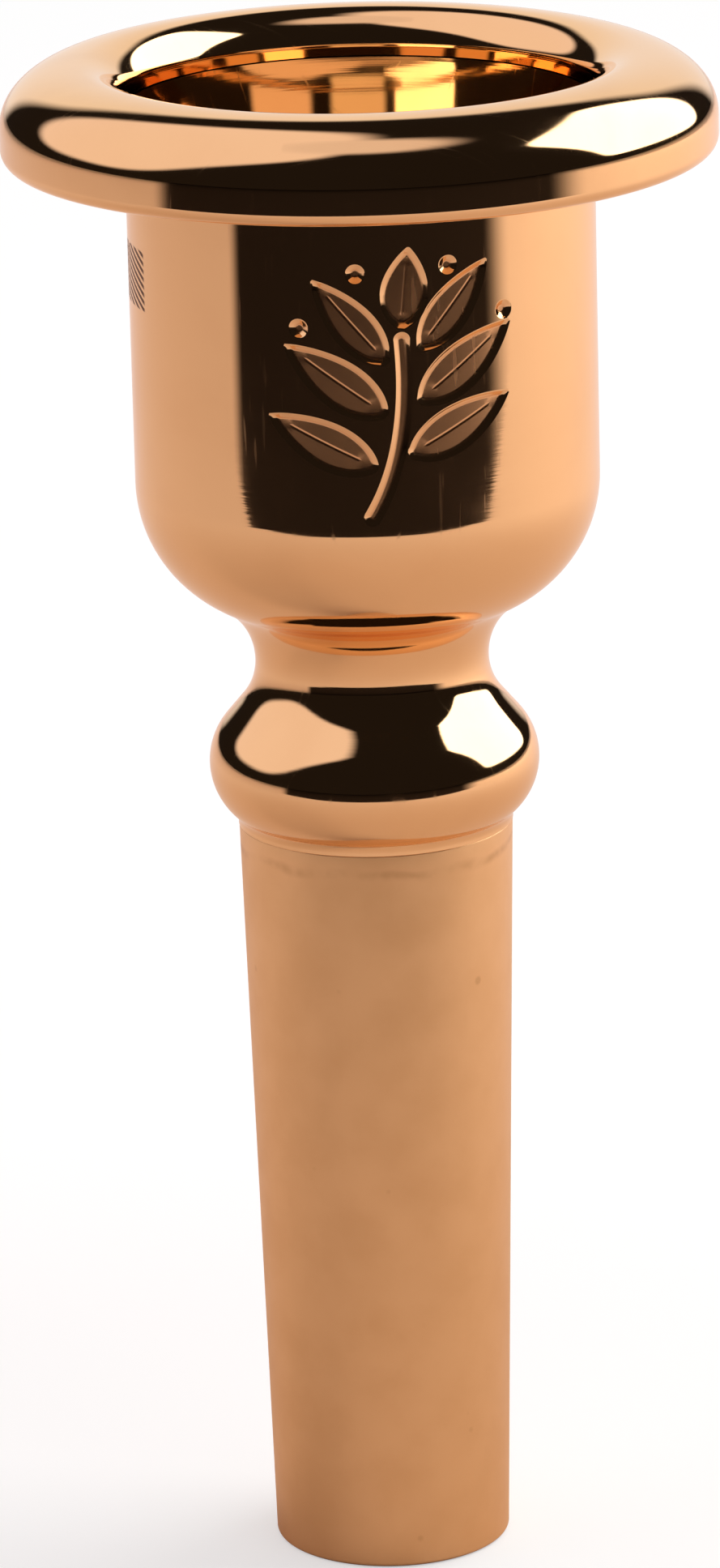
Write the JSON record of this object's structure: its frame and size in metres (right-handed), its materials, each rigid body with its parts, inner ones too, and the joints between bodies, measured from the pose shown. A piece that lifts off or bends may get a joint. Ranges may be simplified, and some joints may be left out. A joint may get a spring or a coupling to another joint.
{
  "type": "brass instrument mouthpiece",
  "caption": "Brass instrument mouthpiece, taken to be a tenor horn's: rounded rim, straight-sided cup, waisted neck with a bead, tapered shank. Built as a take-apart form with screw joints and rubber rings.",
  "frame": {"origin": "centre of the shank's end face, which the mouthpiece stands on", "axes": "+Z along the axis of the turning, from the shank's end to the rim; the engraved ornament faces -Y"},
  "size_m": [0.0274, 0.0274, 0.06],
  "materials": {
    "polished_gold_plate": "mirror-polished gold plate over turned brass, with faint turning lines",
    "satin_gold_plate": "satin gold plate over turned brass",
    "black_rubber": "matt moulded rubber"
  },
  "bodies": {
    "shank": {"shank": "satin_gold_plate"},
    "shank_seal": {"shank_o_ring": "black_rubber"},
    "cup": {"cup": "polished_gold_plate"},
    "rim_seal": {"rim_o_ring": "black_rubber"},
    "rim": {"rim": "polished_gold_plate"}
  },
  "joints": [
    {"name": "cup_unscrew", "type": "hinge", "parent": "shank", "child": "shank_seal", "pos_m": [0, 0, 0.02975], "axis": [0, 0, 1], "range_deg": [0, 1260]},
    {"name": "cup_rise", "type": "slide", "parent": "shank_seal", "child": "cup", "axis": [0, 0, 1], "range_m": [0, 0.00263]},
    {"name": "rim_unscrew", "type": "hinge", "parent": "cup", "child": "rim_seal", "pos_m": [0, 0, 0.0582], "axis": [0, 0, 1], "range_deg": [0, 900]},
    {"name": "rim_rise", "type": "slide", "parent": "rim_seal", "child": "rim", "axis": [0, 0, 1], "range_m": [0, 0.00125]}
  ],
  "couplings": [
    {"joint": "cup_rise", "follows": "cup_unscrew", "m_per_rad": 0.00011937},
    {"joint": "rim_rise", "follows": "rim_unscrew", "m_per_rad": 0.000079577}
  ]
}
